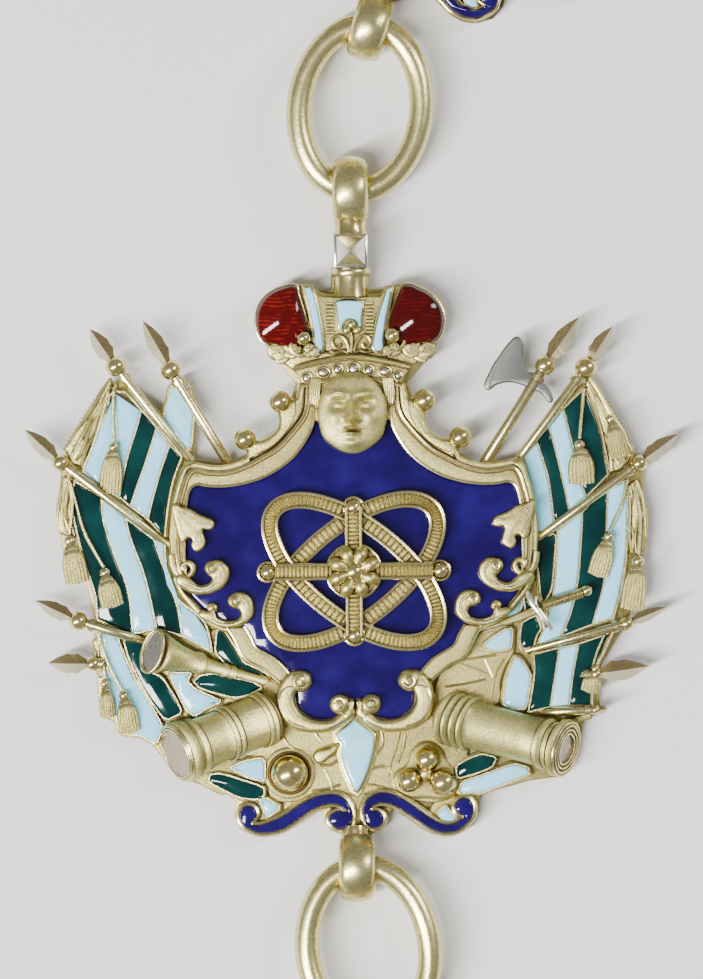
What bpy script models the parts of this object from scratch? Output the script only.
# Chivalric order collar: sixteen trophy links joined by sixteen oval rings, laid flat as a closed loop.
# Metres, +Z up. The collar lies on z = 0 with its middle at the origin. The front link lies at -X, and
# the crowns point to +Y, as the collar is worn.

import math

import bmesh
import bpy
from mathutils import Vector

# Driving sizes, in metres
LINK_WIDTH = 0.0500
PLATE_THICKNESS = 0.0010
SEAT_GAP = 0.0003
SHEET_THICKNESS = 0.0004
SEAM_HEIGHT = 0.0005
SEAM_WIDTH = 0.0004
POLE_DIAMETER = 0.0008
POLE_BALL_DIAMETER = 0.0017
SPEAR_WIDTH = 0.0014
TASSEL_WIDTH = 0.0014
SHIELD_ENAMEL_THICKNESS = 0.0018
SHIELD_DOME_RISE = 0.0006
SHIELD_FRAME_HEIGHT = 0.0030
FRAME_BALL_DIAMETER = 0.0017
SCROLL_HEAD_DIAMETER = 0.0019
ORNAMENT_HEIGHT = 0.0008
ORNAMENT_BAND = 0.0010
MASK_RELIEF = 0.0018
CROWN_SLAB_THICKNESS = 0.0012
CROWN_HEIGHT = 0.0030
CROWN_RIB_WIDTH = 0.0005
CROWN_ENAMEL_THICKNESS = 0.0009
CANNON_DIAMETER = 0.0040
HORN_BELL_DIAMETER = 0.0033
RELIEF_FLATTENING = 0.75
CANNON_BALL_DIAMETER = 0.0025
PILE_BALL_DIAMETER = 0.0018
AXE_THICKNESS = 0.0008
GUARD_WIDTH = 0.0008
PENNANT_THICKNESS = 0.0009
BOTTOM_SCROLL_WIDTH = 0.0010
BOTTOM_SCROLL_HEIGHT = 0.0011
STEM_WIDTH = 0.0028
BLOCK_LENGTH = 0.0026
BAIL_WIDTH = 0.0028
BAIL_WALL = 0.0012
BAIL_CLEARANCE = 0.00053
RING_LENGTH = 0.0146
RING_WIDTH = 0.0113
RING_WIRE = 0.0019

# Turns at the joints of one quarter of the loop, in degrees, which add up to a right angle. The other
# quarters mirror it.
QUARTER_TURNS = [7.5, 7.5, 11.0, 11.0, 13.0, 13.0, 13.5, 13.5]

# The plan tables below hold places on a link as shares of its width, 650 to the width: x to the right,
# y along the chain towards the crown, from the middle between the bails.
SHARE = LINK_WIDTH / 650

# Heights of the layers over the floor
PLATE_TOP = PLATE_THICKNESS
SEAT = PLATE_TOP + SEAT_GAP
SHEET_TOP = SEAT + SHEET_THICKNESS
SEAM_LOW = SHEET_TOP + SEAT_GAP
SEAM_TOP = SEAM_LOW + SEAM_HEIGHT
POLE_HEIGHT = SEAM_LOW + POLE_DIAMETER * 0.6
FRAME_TOP = SEAT + SHIELD_FRAME_HEIGHT
SHIELD_TOP = SEAT + SHIELD_ENAMEL_THICKNESS
ORNAMENT_LOW = SHIELD_TOP + SHIELD_DOME_RISE + SEAT_GAP
CROWN_TOP = SEAT + CROWN_HEIGHT

# The bail's hole takes the ring's wire with its clearance all round
BAIL_HOLE_RADIUS = RING_WIRE / 2 + BAIL_CLEARANCE
BAIL_RADIUS = BAIL_HOLE_RADIUS + BAIL_WALL
CHAIN_HEIGHT = BAIL_RADIUS
BAIL_REACH = 338 * SHARE
RING_SPAN = RING_LENGTH - RING_WIRE

# Corners of a link's outline, clockwise from the stem: x, y, and which links have the corner. The plain
# links show finials there, which the front link carries on its own poles.
PLATE_CORNERS = [
    (-20, 262, "all"), (18, 262, "all"), (18, 240, "front"), (66, 241, "front"),
    (93, 215, "front"), (85, 183, "front"), (56, 146, "front"), (75, 98, "front"), (122, 66, "all"),
    (134, 138, "plain"), (160, 190, "plain"), (184, 160, "plain"), (228, 210, "plain"),
    (196, 130, "plain"), (166, 68, "front"), (193, 101, "front"), (222, 140, "all"),
    (261, 200, "plain"), (240, 146, "all"), (259, 104, "front"), (278, 84, "all"),
    (327, 92, "plain"), (291, 60, "all"), (290, -50, "all"), (276, -90, "front"),
    (312, -81, "plain"), (268, -104, "all"), (252, -134, "front"), (294, -142, "plain"),
    (242, -152, "all"), (246, -187, "front"), (226, -222, "all"), (198, -254, "all"),
    (118, -270, "all"), (112, -301, "all"), (62, -292, "front"), (16, -312, "all"),
    (-16, -312, "all"), (-60, -290, "front"), (-112, -300, "all"), (-118, -270, "all"),
    (-190, -238, "all"), (-216, -203, "front"), (-254, -185, "all"), (-258, -142, "front"),
    (-307, -131, "plain"), (-262, -118, "all"), (-260, -94, "front"), (-319, -68, "plain"),
    (-264, -74, "all"), (-290, -40, "all"), (-296, 20, "front"), (-292, 66, "all"),
    (-327, 103, "plain"), (-282, 92, "all"), (-246, 146, "all"), (-262, 203, "plain"),
    (-230, 152, "all"), (-193, 122, "all"), (-209, 211, "plain"), (-170, 153, "all"),
    (-155, 131, "front"), (-158, 72, "all"), (-122, 66, "front"), (-75, 98, "front"),
    (-56, 146, "front"), (-85, 183, "front"), (-95, 215, "front"), (-66, 241, "front"),
    (-20, 240, "front"),
]

# Right half of the shield frame's outside, of its opening, and of the blue enamel inside it
FRAME_OUTSIDE = [
    (0, 137), (48, 137), (66, 113), (88, 88), (122, 66), (169, 68), (182, 15), (181, -40),
    (161, -76), (130, -98), (110, -131), (84, -147), (81, -172), (58, -199), (22, -202), (0, -192),
]
FRAME_OPENING = [
    (0, 105), (37, 107), (56, 75), (92, 50), (161, 46), (169, -30), (152, -61), (108, -112),
    (81, -135), (71, -148), (68, -176), (30, -190), (0, -181),
]
ENAMEL_EDGE = [
    (0, 100), (33, 101), (52, 71), (90, 45), (156, 41), (163, -29), (147, -58), (104, -108),
    (77, -131), (66, -146), (63, -172), (30, -185), (0, -176),
]

# Curled arms of the frame over the enamel, right half: from the frame to the head
FRAME_ARMS = [
    ((176, 14), (138, 8)),
    ((170, -58), (135, -41)),
    ((138, -92), (112, -76)),
    ((78, -164), (51, -152)),
    ((18, -194), (14, -178)),
]

# Balls outside the frame, right half, each on its stalk: from the frame to the ball
FRAME_BALLS = [((54, 124), (72, 128)), ((93, 82), (107, 93))]

# Half of the crown's outside, its red cap and the white panel between the arches
CROWN_OUTSIDE = [
    (0, 244), (66, 243), (86, 232), (95, 212), (88, 186), (65, 163), (49, 142), (0, 149),
]
CROWN_CAP = [
    (52, 234), (66, 232), (77, 225), (84, 212), (80, 198), (64, 188), (54, 193), (43, 211), (46, 226),
]
CROWN_PANEL = [(13, 231), (10, 205), (-10, 205), (-13, 231)]
CROWN_RIBS = [
    ((56, 160), (86, 188), (93, 212), (83, 232), (62, 241)),
    ((40, 168), (30, 178), (35, 212), (42, 239)),
]
CROWN_BAND = [(-52, 152), (-28, 158), (0, 161), (28, 158), (52, 152)]

# Flags: the fly edge and the seams of each corner of the trophy, and the enamel sheet under them
SEAMS = {
    "upper_left": [
        [(-224, 150), (-254, 112), (-272, 66)],
        [(-211, 121), (-234, 36)],
        [(-183, 92), (-196, 46), (-204, 16), (-204, -8)],
        [(-178, 146), (-186, 116), (-180, 76)],
        [(-160, 149), (-161, 100), (-176, 72)],
        [(-178, 64), (-193, 20), (-197, -10), (-190, -50), (-172, -84), (-178, -100)],
        [(-286, 62), (-279, 10), (-262, -80)],
        [(-252, 34), (-224, -96)],
        [(-228, 16), (-200, -92)],
        [(-284, 58), (-234, 34), (-204, 10)],
        [(-234, -36), (-250, -48)],
    ],
    "upper_right": [
        [(232, 142), (250, 85), (258, 48)],
        [(205, 112), (232, 30)],
        [(184, 86), (196, 45), (200, 4)],
        [(174, 62), (190, 20), (193, -12), (190, -56), (176, -96)],
        [(276, 56), (275, -20), (264, -86)],
        [(255, 40), (240, -94)],
        [(229, 17), (212, -104)],
        [(280, 58), (232, 30), (198, 0)],
    ],
    "lower_left": [
        [(-262, -92), (-254, -142), (-240, -196)],
        [(-236, -101), (-220, -152), (-198, -190)],
        [(-224, -142), (-170, -160), (-148, -172)],
    ],
    "lower_right": [
        [(260, -99), (243, -146), (241, -184)],
        [(225, -109), (216, -182)],
        [(200, -115), (196, -184)],
        [(172, -124), (160, -150), (170, -186)],
        [(244, -144), (200, -150), (160, -152)],
    ],
}
FLAG_SHEETS = {
    "upper_left": [
        (-240, 148), (-278, 92), (-272, 56), (-206, 8), (-190, 24), (-164, 82), (-162, 146),
        (-180, 146), (-196, 112),
    ],
    "middle_left": [
        (-284, 50), (-291, 4), (-262, -86), (-178, -104), (-158, -94), (-190, -48), (-200, 2),
    ],
    "lower_left": [
        (-258, -94), (-238, -198), (-206, -206), (-196, -186), (-150, -170), (-150, -156),
        (-212, -148), (-214, -108),
    ],
    "upper_right": [
        (234, 142), (204, 106), (178, 66), (194, 20), (204, 4), (256, 48), (262, 98),
    ],
    "middle_right": [
        (282, 50), (290, 4), (262, -88), (186, -112), (164, -96), (186, -56), (192, -4),
    ],
    "lower_right": [
        (258, -104), (240, -182), (160, -180), (148, -150), (164, -124), (178, -120),
    ],
}

# Poles of each corner: foot, ball and spear tip, and tassels: knot and fringe
POLES = {
    "upper_left": [
        ((-166, 75), (-236, 165), (-262, 203)),
        ((-125, 84), (-181, 161), (-209, 211)),
        ((-196, -6), (-292, 69), (-327, 103)),
    ],
    "upper_right": [
        ((178, 83), (234, 159), (261, 200)),
        ((196, -2), (286, 63), (327, 92)),
    ],
    "lower_left": [
        ((-214, -108), (-276, -89), (-319, -68)),
        ((-240, -132), (-266, -132), (-307, -131)),
    ],
    "lower_right": [
        ((178, -122), (272, -97), (312, -81)),
        ((236, -145), (252, -144), (294, -142)),
    ],
}
TASSELS = {
    "upper_left": [((-239, 84), (-243, 40)), ((-284, -4), (-276, -50)), ((-248, -42), (-242, -74))],
    "upper_right": [((227, 82), (229, 42)), ((255, -12), (245, -48)), ((277, -30), (277, -82))],
    "lower_left": [((-250, -150), (-247, -186)), ((-226, -148), (-226, -198))],
    "lower_right": [],
}

# Turned profiles along their axes: share of the length, share of the greatest radius
CANNON_PROFILE = [(0, 1.0), (0.1, 1.0), (0.16, 0.86), (0.6, 0.8), (0.9, 0.86), (1, 0.8)]
HORN_PROFILE = [(0, 1.0), (0.08, 0.8), (0.33, 0.46), (0.6, 0.24), (1, 0.17)]
CANNON_LEFT_AXIS = ((-181, -222), (-94, -192))
CANNON_RIGHT_AXIS = ((210, -223), (96, -192))
HORN_AXIS = ((-199, -120), (-94, -149))
CANNON_BALL = (-62, -243)
BALL_PILE = [(71, -236), (53, -254), (88, -255)]
PILE_SEAT = (70, -248)

# Axe: the blade with its spike, then its own pole: foot, ball and spear tip
AXE_BLADE = [
    (160, 188), (146, 171), (134, 138), (157, 144), (181, 137), (200, 123), (186, 150), (172, 160),
    (171, 190),
]
AXE_POLE = ((138, 74), (193, 162), (228, 210))

# Dagger: pommel, middle of the guard and point
DAGGER = ((229, -64), (185, -84), (141, -101))
DAGGER_GUARD = ((174, -66), (196, -102))

PENNANT = [
    (-1, -210), (21, -212), (17, -230), (11, -248), (1, -263), (-9, -250), (-15, -228), (-20, -212),
]
BOTTOM_SCROLL = [
    (108, -285), (105, -296), (88, -295), (74, -288), (50, -274), (30, -268), (14, -276), (16, -290),
]

# Ornament: two crossed oval bands round a boss. Middle, half axes and tilt in degrees
ORNAMENT_MIDDLE = (0, -42)
ORNAMENT_HALF_AXES = (100, 46)
ORNAMENT_TILT = 38
ORNAMENT_BOSS = 26

MASK_MIDDLE = (0, 112)
MASK_HALF_AXES = (34, 35)

# The plain links' shield and crown as raised outlines, right half
PLAIN_SHIELD = [(0, 137), (48, 137), (169, 68), (181, -40), (81, -180), (0, -202)]
PLAIN_CROWN = [(0, 244), (66, 243), (95, 212), (49, 140), (0, 130)]

# Finishes: colour, roughness and metallic value
FINISHES = {
    "matte_gold": ((0.78, 0.62, 0.34), 0.42, 1.0),
    "polished_gold": ((0.85, 0.70, 0.38), 0.18, 1.0),
    "silver": ((0.74, 0.73, 0.70), 0.28, 1.0),
    "blue_enamel": ((0.01, 0.03, 0.24), 0.08, 0.0),
    "white_enamel": ((0.78, 0.81, 0.86), 0.10, 0.0),
    "green_enamel": ((0.01, 0.10, 0.09), 0.08, 0.0),
    "red_enamel": ((0.50, 0.01, 0.01), 0.08, 0.0),
}

WIRE_SIDES = 6
RING_WIRE_SIDES = 5
RING_STEPS = 12
BAIL_STEPS = 12
PLAIN_BAIL_STEPS = 10
PLAIN_BAIL_SIDES = 5
TURNED_SIDES = 8
OVAL_STEPS = 10


def clear_scene():
    for thing in list(bpy.data.objects):
        bpy.data.objects.remove(thing)


def make_finishes():
    made = {}
    for name, (colour, roughness, metallic) in FINISHES.items():
        finish = bpy.data.materials.new(name)
        finish.use_nodes = True
        shader = finish.node_tree.nodes["Principled BSDF"]
        shader.inputs["Base Color"].default_value = (*colour, 1.0)
        shader.inputs["Roughness"].default_value = roughness
        shader.inputs["Metallic"].default_value = metallic
        made[name] = finish
    return made


def place(point, height):
    return Vector((point[0] * SHARE, point[1] * SHARE, height))


def mirrored(half):
    # A whole outline from its right half, whose end points lie on the middle line
    left = [(-x, y) for x, y in reversed(half) if x > 0]
    return half + left


def flipped(points):
    return [(-x, y) for x, y in points]


def oval_points(middle, half_axes, steps, tilt=0.0):
    turn = math.radians(tilt)
    points = []
    for step in range(steps):
        angle = 2 * math.pi * step / steps
        across = half_axes[0] * math.cos(angle)
        along = half_axes[1] * math.sin(angle)
        x = middle[0] + across * math.cos(turn) - along * math.sin(turn)
        y = middle[1] + across * math.sin(turn) + along * math.cos(turn)
        points.append((x, y))
    return points


def closed_shell(body):
    bmesh.ops.recalc_face_normals(body, faces=body.faces)
    return body


def loft(loops, around=False):
    # Bridges loops of equally many points, and closes the two ends or, if it runs around, the last
    # loop to the first
    body = bmesh.new()
    rings = [[body.verts.new(point) for point in loop] for loop in loops]
    pairs = list(zip(rings, rings[1:]))
    if around:
        pairs.append((rings[-1], rings[0]))
    for one, other in pairs:
        for index in range(len(one)):
            after = (index + 1) % len(one)
            body.faces.new((one[index], one[after], other[after], other[index]))
    if not around:
        body.faces.new(rings[0])
        body.faces.new(rings[-1])
    return closed_shell(body)


def prism(outline, low, high):
    return loft([[place(point, height) for point in outline] for height in (low, high)])


def domed(outline, low, high, rise, shrink):
    # A prism whose top rises to a smaller outline about its own middle
    middle_x = sum(point[0] for point in outline) / len(outline)
    middle_y = sum(point[1] for point in outline) / len(outline)
    inner = [
        (middle_x + (x - middle_x) * shrink, middle_y + (y - middle_y) * shrink) for x, y in outline
    ]
    levels = [(outline, low), (outline, high), (inner, high + rise)]
    return loft([[place(point, height) for point in level] for level, height in levels])


def ring_prism(outside, opening, low, high):
    # A flat frame: both outlines filled between, then raised
    body = bmesh.new()
    edges = []
    for outline in (outside, opening):
        corners = [body.verts.new(place(point, low)) for point in outline]
        edges += [body.edges.new((a, b)) for a, b in zip(corners, corners[1:] + corners[:1])]
    bmesh.ops.triangle_fill(body, use_beauty=True, edges=edges)
    raised = bmesh.ops.extrude_face_region(body, geom=body.faces[:])
    moved = [item for item in raised["geom"] if isinstance(item, bmesh.types.BMVert)]
    bmesh.ops.translate(body, verts=moved, vec=(0, 0, high - low))
    return closed_shell(body)


def band(path, width, low, high):
    # A flat strip of even width along a path, with its corners mitred
    points = [place(point, 0) for point in path]
    left, right = [], []
    for index, point in enumerate(points):
        before = points[max(index - 1, 0)]
        after = points[min(index + 1, len(points) - 1)]
        along = (after - before).normalized()
        side = Vector((-along.y, along.x, 0))
        stretch = 1.0
        if 0 < index < len(points) - 1:
            stretch = 1 / max(side.dot(Vector((-(after - point).y, (after - point).x, 0)).normalized()), 0.5)
        left.append(point + side * (width / 2 * stretch))
        right.append(point - side * (width / 2 * stretch))
    outline = left + right[::-1]
    return loft([[Vector((p.x, p.y, height)) for p in outline] for height in (low, high)])


def turned(axis, profile, radius, height, sides=TURNED_SIDES, flattening=1.0):
    # A body turned about a level axis, and squeezed upwards by its flattening
    start, end = place(axis[0], height), place(axis[1], height)
    along = end - start
    side = Vector((-along.y, along.x, 0)).normalized()
    loops = []
    for share, radius_share in profile:
        middle = start + along * share
        loop = []
        for step in range(sides):
            angle = 2 * math.pi * (step + 0.5) / sides
            reach = radius * radius_share
            offset = side * (reach * math.cos(angle))
            loop.append(middle + offset + Vector((0, 0, reach * math.sin(angle) * flattening)))
        loops.append(loop)
    return loft(loops)


def ball(middle, diameter, height, sides=TURNED_SIDES):
    body = bmesh.new()
    bmesh.ops.create_uvsphere(body, u_segments=sides, v_segments=sides // 2 + 1, radius=diameter / 2)
    bmesh.ops.translate(body, verts=body.verts, vec=place(middle, height))
    return body


def spear(base, tip, width, height):
    # A faceted leaf: a point at each end and its widest place a third of the way along
    start, end = place(base, height), place(tip, height)
    along = end - start
    side = Vector((-along.y, along.x, 0)).normalized() * (width / 2)
    up = Vector((0, 0, width / 3))
    middle = start + along * 0.3
    body = bmesh.new()
    ends = [body.verts.new(start), body.verts.new(end)]
    waist = [body.verts.new(middle + offset) for offset in (side, up, -side, -up)]
    for index in range(4):
        for point in ends:
            body.faces.new((point, waist[index], waist[(index + 1) % 4]))
    return closed_shell(body)


def pole(foot, ball_middle, tip, height):
    # A pole with its ball, and the spear tip that starts inside the ball
    return [
        turned((foot, ball_middle), [(0, 1), (1, 1)], POLE_DIAMETER / 2, height, WIRE_SIDES),
        ball(ball_middle, POLE_BALL_DIAMETER, height, WIRE_SIDES),
        spear(ball_middle, tip, SPEAR_WIDTH, height),
    ]


def bail(side, steps, sides):
    # A round bail standing on edge, with its hole along X
    loops = []
    for step in range(steps):
        angle = 2 * math.pi * (step + 0.5) / steps
        radial = Vector((0, math.cos(angle), math.sin(angle)))
        middle = Vector((0, side * BAIL_REACH, CHAIN_HEIGHT)) + radial * (BAIL_HOLE_RADIUS + BAIL_WALL / 2)
        loop = []
        for turn in range(sides):
            around = 2 * math.pi * turn / sides
            offset = radial * (-BAIL_WALL / 2 * math.cos(around))
            loop.append(middle + offset + Vector((BAIL_WIDTH / 2 * math.sin(around), 0, 0)))
        loops.append(loop)
    return loft(loops, around=True)


def block(low_y, high_y, width, low, high):
    half = width / 2
    corners = [(-half, low_y), (half, low_y), (half, high_y), (-half, high_y)]
    return loft([[Vector((x, y, height)) for x, y in corners] for height in (low, high)])


def bail_shells(steps, sides):
    # The bails with their stems: the upper one carries the square block behind the crown
    near_bail = BAIL_REACH - BAIL_HOLE_RADIUS - BAIL_WALL / 2
    stem_low = PLATE_THICKNESS / 3
    block_start = near_bail - BLOCK_LENGTH
    return [
        bail(1, steps, sides),
        bail(-1, steps, sides),
        block(251 * SHARE, block_start, STEM_WIDTH * 0.8, stem_low, CHAIN_HEIGHT),
        block(block_start - STEM_WIDTH / 4, near_bail, STEM_WIDTH, CHAIN_HEIGHT / 2, CHAIN_HEIGHT * 1.6),
        block(-near_bail, -302 * SHARE, STEM_WIDTH * 0.7, stem_low, CHAIN_HEIGHT * 1.3),
    ]


def oval_ring():
    # One ring about its own middle, with its length along Y
    half_width = (RING_WIDTH - RING_WIRE) / 2
    half_length = RING_SPAN / 2
    loops = []
    for step in range(RING_STEPS):
        angle = 2 * math.pi * step / RING_STEPS
        middle = Vector((half_width * math.sin(angle), half_length * math.cos(angle), CHAIN_HEIGHT))
        outward = Vector((half_length * math.sin(angle), half_width * math.cos(angle), 0)).normalized()
        loop = []
        for turn in range(RING_WIRE_SIDES):
            around = 2 * math.pi * turn / RING_WIRE_SIDES
            offset = outward * (RING_WIRE / 2 * math.cos(around))
            loop.append(middle + offset + Vector((0, 0, RING_WIRE / 2 * math.sin(around))))
        loops.append(loop)
    return loft(loops, around=True)


def mesh_of(name, shells, finish):
    joined = bmesh.new()
    for shell in shells:
        part = bpy.data.meshes.new(name + "_shell")
        shell.to_mesh(part)
        joined.from_mesh(part)
        bpy.data.meshes.remove(part)
        shell.free()
    mesh = bpy.data.meshes.new(name)
    joined.to_mesh(mesh)
    joined.free()
    mesh.materials.append(finish)
    return mesh


def add_object(name, mesh, parent=None):
    piece = bpy.data.objects.new(name, mesh)
    bpy.context.collection.objects.link(piece)
    piece.parent = parent
    return piece


def fuse(name, shells, finish, parent=None):
    # One closed body: the first shell is a hidden guide, and the others are united with it
    if len(shells) == 1:
        return add_object(name, mesh_of(name, shells, finish), parent)
    guide = add_object(name + "_guide", mesh_of(name + "_guide", shells[:1], finish), parent)
    guide.hide_render = True
    guide.display_type = "WIRE"
    piece = add_object(name, mesh_of(name, shells[1:], finish), parent)
    union = piece.modifiers.new("union", "BOOLEAN")
    union.operation = "UNION"
    union.solver = "EXACT"
    union.use_self = True
    union.object = guide
    return piece


def settled_mesh(piece):
    graph = bpy.context.evaluated_depsgraph_get()
    return bpy.data.meshes.new_from_object(piece.evaluated_get(graph))


def chain_places():
    # Middle and heading of every link and ring, walked once round the loop from the front link
    turns = 2 * (QUARTER_TURNS + QUARTER_TURNS[::-1])
    spot = Vector((0, 0))
    heading = 90.0
    links, rings = [], []
    for turn_in, turn_out in zip(turns[0::2], turns[1::2]):
        links.append((spot.copy(), heading))
        spot += step_along(heading, BAIL_REACH)
        heading -= turn_in
        rings.append((spot + step_along(heading, RING_SPAN / 2), heading))
        spot += step_along(heading, RING_SPAN)
        heading -= turn_out
        spot += step_along(heading, BAIL_REACH)
    middle = sum((link[0] for link in links), Vector((0, 0))) / len(links)
    links = [(spot - middle, heading) for spot, heading in links]
    rings = [(spot - middle, heading) for spot, heading in rings]
    return links, rings


def step_along(heading, length):
    angle = math.radians(heading)
    return Vector((math.cos(angle), math.sin(angle))) * length


def set_place(piece, spot, heading):
    # On the right-hand side a link is turned end for end, so that its crown points up as on the left
    piece.location = (spot.x, spot.y, 0)
    piece.rotation_euler = (0, 0, math.radians(heading - 90))


def plate_outline(kind):
    return [(x, y) for x, y, links in PLATE_CORNERS if links in ("all", kind)]


def make_plate(parent, finishes):
    shells = [prism(plate_outline("front"), 0, PLATE_TOP)] + bail_shells(BAIL_STEPS, WIRE_SIDES)
    fuse("trophy_plate", shells, finishes["matte_gold"], parent)


def make_flags(parent, finishes):
    for corner, seams in SEAMS.items():
        shells = [band(path, SEAM_WIDTH, SEAM_LOW, SEAM_TOP) for path in seams]
        for foot, ball_middle, tip in POLES[corner]:
            shells += pole(foot, ball_middle, tip, POLE_HEIGHT)
        for knot, fringe in TASSELS[corner]:
            profile = [(0, 0.4), (0.3, 0.8), (1, 1)]
            shells.append(turned((knot, fringe), profile, TASSEL_WIDTH / 2, POLE_HEIGHT, WIRE_SIDES, 0.5))
        fuse("flag_frame_" + corner, shells, finishes["matte_gold"], parent)
    for corner, outline in FLAG_SHEETS.items():
        fuse("flag_enamel_" + corner, [prism(outline, SEAT, SHEET_TOP)], finishes["white_enamel"], parent)


def make_shield(parent, finishes):
    enamel = domed(mirrored(ENAMEL_EDGE), SEAT, SHIELD_TOP, SHIELD_DOME_RISE, 0.7)
    fuse("shield_enamel", [enamel], finishes["blue_enamel"], parent)
    shells = [ring_prism(mirrored(FRAME_OUTSIDE), mirrored(FRAME_OPENING), SEAT, FRAME_TOP)]
    arm_low = ORNAMENT_LOW
    head_radius = SCROLL_HEAD_DIAMETER / 2 / SHARE
    for side in (1, -1):
        for arm in FRAME_ARMS:
            path = [(side * x, y) for x, y in arm]
            shells.append(band(path, SEAM_WIDTH * 1.5, arm_low, FRAME_TOP))
            head = oval_points(path[-1], (head_radius, head_radius), WIRE_SIDES)
            shells.append(prism(head, arm_low, FRAME_TOP + SEAM_HEIGHT / 2))
        for stalk in FRAME_BALLS:
            path = [(side * x, y) for x, y in stalk]
            ball_height = FRAME_TOP - FRAME_BALL_DIAMETER / 2
            shells.append(band(path, SEAM_WIDTH * 1.5, SHIELD_TOP, ball_height))
            shells.append(ball(path[-1], FRAME_BALL_DIAMETER, ball_height, 6))
    fuse("shield_frame", shells, finishes["matte_gold"], parent)


def make_ornament(parent, finishes):
    shells = []
    low, high = ORNAMENT_LOW, ORNAMENT_LOW + ORNAMENT_HEIGHT
    half_band = ORNAMENT_BAND / SHARE / 2
    for tilt in (ORNAMENT_TILT, -ORNAMENT_TILT):
        outer, inner = [
            oval_points(
                ORNAMENT_MIDDLE,
                (ORNAMENT_HALF_AXES[0] + offset, ORNAMENT_HALF_AXES[1] + offset),
                OVAL_STEPS,
                tilt,
            )
            for offset in (half_band, -half_band)
        ]
        shells.append(ring_prism(outer, inner, low, high))
    boss = oval_points(ORNAMENT_MIDDLE, (ORNAMENT_BOSS, ORNAMENT_BOSS), TURNED_SIDES)
    arm_length = ORNAMENT_HALF_AXES[1]
    x, y = ORNAMENT_MIDDLE
    shells.append(domed(boss, low, high, ORNAMENT_HEIGHT / 2, 0.6))
    shells.append(band([(x, y - arm_length), (x, y + arm_length)], ORNAMENT_BAND, low, high))
    shells.append(band([(x - arm_length * 1.7, y), (x + arm_length * 1.7, y)], ORNAMENT_BAND, low, high))
    fuse("scroll_ornament", shells, finishes["matte_gold"], parent)


def make_mask(parent, finishes):
    outline = oval_points(MASK_MIDDLE, MASK_HALF_AXES, 10)
    low = FRAME_TOP + SEAT_GAP
    shell = domed(outline, low, low + MASK_RELIEF / 3, MASK_RELIEF * 2 / 3, 0.55)
    fuse("mask", [shell], finishes["matte_gold"], parent)


def make_crown(parent, finishes):
    slab_top = SEAT + CROWN_SLAB_THICKNESS
    cap_low = slab_top + SEAT_GAP
    cap_top = cap_low + CROWN_ENAMEL_THICKNESS / 2
    shells = [prism(mirrored(CROWN_OUTSIDE), SEAT, slab_top)]
    for path in CROWN_RIBS:
        shells.append(band(path, CROWN_RIB_WIDTH, SEAT, CROWN_TOP))
        shells.append(band(flipped(path), CROWN_RIB_WIDTH, SEAT, CROWN_TOP))
    shells.append(band(CROWN_BAND, CROWN_RIB_WIDTH * 2.4, SEAT, CROWN_TOP))
    fuse("crown", shells, finishes["matte_gold"], parent)
    for name, outline in (("left", flipped(CROWN_CAP)), ("right", CROWN_CAP)):
        cap = domed(outline, cap_low, cap_top, CROWN_ENAMEL_THICKNESS / 2, 0.6)
        fuse("crown_cap_" + name, [cap], finishes["red_enamel"], parent)
    fuse("crown_panel", [prism(CROWN_PANEL, cap_low, cap_top)], finishes["white_enamel"], parent)


def make_arms(parent, finishes):
    # Cannons, horn, balls, axe and dagger, each on its seat
    gold = finishes["matte_gold"]
    radius = CANNON_DIAMETER / 2 / CANNON_PROFILE[3][1]
    height = SEAT + radius * RELIEF_FLATTENING
    for name, axis in (("left", CANNON_LEFT_AXIS), ("right", CANNON_RIGHT_AXIS)):
        shell = turned(axis, CANNON_PROFILE, radius, height, TURNED_SIDES, RELIEF_FLATTENING)
        fuse("cannon_" + name, [shell], gold, parent)
    radius = HORN_BELL_DIAMETER / 2
    height = SEAT + radius * RELIEF_FLATTENING
    shell = turned(HORN_AXIS, HORN_PROFILE, radius, height, TURNED_SIDES, RELIEF_FLATTENING)
    fuse("horn", [shell], gold, parent)
    fuse("cannon_ball", [ball(CANNON_BALL, CANNON_BALL_DIAMETER, SEAT + CANNON_BALL_DIAMETER / 2)],
         finishes["polished_gold"], parent)
    pile = [prism(oval_points(PILE_SEAT, (16, 13), 6), SEAT, SEAT + PILE_BALL_DIAMETER * 0.4)]
    pile += [ball(spot, PILE_BALL_DIAMETER, SEAT + PILE_BALL_DIAMETER / 2, 6) for spot in BALL_PILE]
    fuse("ball_pile", pile, finishes["polished_gold"], parent)
    blade = prism(AXE_BLADE, SEAM_LOW, SEAM_LOW + AXE_THICKNESS)
    fuse("axe", [blade] + pole(*AXE_POLE, POLE_HEIGHT), finishes["silver"], parent)
    pommel, guard, point = DAGGER
    height = POLE_HEIGHT + POLE_DIAMETER / 2 + SEAT_GAP + GUARD_WIDTH / 2
    shells = [
        turned((pommel, guard), [(0, 1), (1, 1)], GUARD_WIDTH / 2, height, WIRE_SIDES),
        turned(DAGGER_GUARD, [(0, 1), (0.5, 0.7), (1, 1)], GUARD_WIDTH / 2, height, WIRE_SIDES),
        turned((guard, point), [(0, 0.6), (1, 0.4)], GUARD_WIDTH / 2, height, WIRE_SIDES),
    ]
    fuse("dagger", shells, finishes["silver"], parent)


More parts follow.
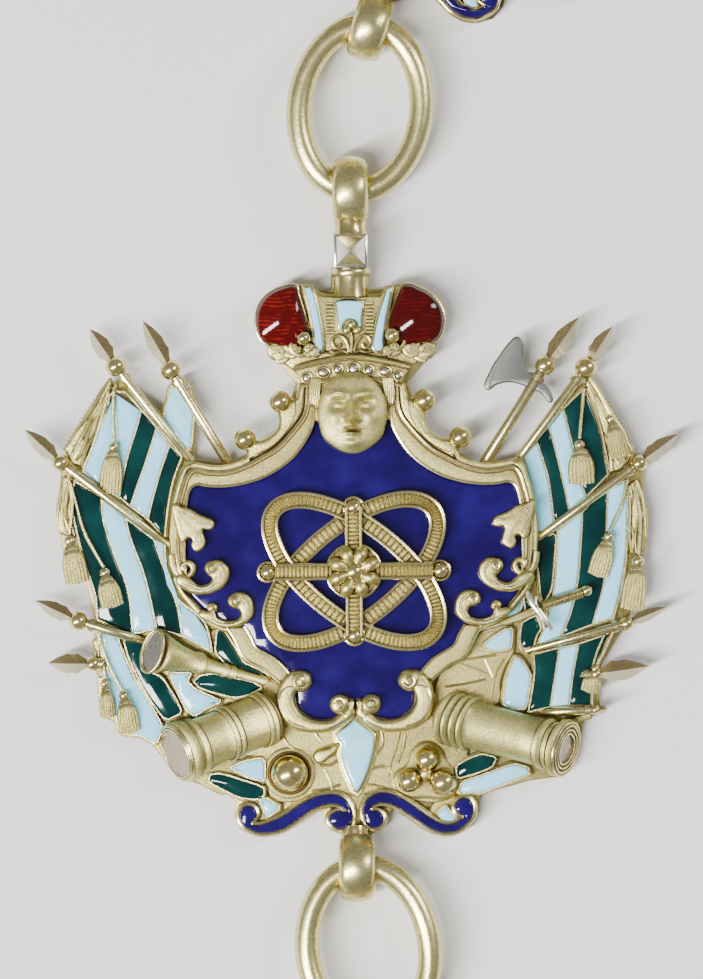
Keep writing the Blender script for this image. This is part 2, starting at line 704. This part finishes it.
def make_foot_pieces(parent, finishes):
    # The white pennant, and the blue scrolls on each side of it
    pennant = domed(PENNANT, SEAT, SEAT + PENNANT_THICKNESS / 2, PENNANT_THICKNESS / 2, 0.6)
    fuse("pennant", [pennant], finishes["white_enamel"], parent)
    for name, path in (("left", flipped(BOTTOM_SCROLL)), ("right", BOTTOM_SCROLL)):
        shell = band(path, BOTTOM_SCROLL_WIDTH, SEAT, SEAT + BOTTOM_SCROLL_HEIGHT)
        fuse("bottom_scroll_" + name, [shell], finishes["blue_enamel"], parent)


def plain_link_mesh(finishes):
    # The other links' outline, with their shield and crown as raised blocks
    shells = [
        prism(plate_outline("plain"), 0, SEAM_TOP),
        prism(mirrored(PLAIN_SHIELD), PLATE_TOP, FRAME_TOP),
        prism(mirrored(PLAIN_CROWN), PLATE_TOP / 2, CROWN_TOP),
    ]
    shells += bail_shells(PLAIN_BAIL_STEPS, PLAIN_BAIL_SIDES)
    master = fuse("plain_link", shells, finishes["matte_gold"])
    mesh = settled_mesh(master)
    mesh.name = "plain_link"
    bpy.data.objects.remove(bpy.data.objects["plain_link_guide"])
    bpy.data.objects.remove(master)
    return mesh


def make_front_link(spot, heading, finishes):
    holder = add_object("front_link", None)
    set_place(holder, spot, heading)
    make_plate(holder, finishes)
    make_flags(holder, finishes)
    make_shield(holder, finishes)
    make_ornament(holder, finishes)
    make_mask(holder, finishes)
    make_crown(holder, finishes)
    make_arms(holder, finishes)
    make_foot_pieces(holder, finishes)


def make_chain(finishes):
    links, rings = chain_places()
    make_front_link(*links[0], finishes)
    plain = plain_link_mesh(finishes)
    for number, (spot, heading) in enumerate(links[1:], start=2):
        turned_over = 180 if spot.x > LINK_WIDTH / 10 else 0
        set_place(add_object(f"link_{number:02d}", plain), spot, heading + turned_over)
    ring_mesh = mesh_of("ring", [oval_ring()], finishes["polished_gold"])
    for number, (spot, heading) in enumerate(rings, start=1):
        set_place(add_object(f"ring_{number:02d}", ring_mesh), spot, heading)


def shade_round_pieces():
    sharp = math.radians(40)
    for mesh in {thing.data for thing in bpy.data.objects if thing.type == "MESH"}:
        mesh.shade_smooth()
        mesh.set_sharp_from_angle(angle=sharp)


clear_scene()
make_chain(make_finishes())
shade_round_pieces()
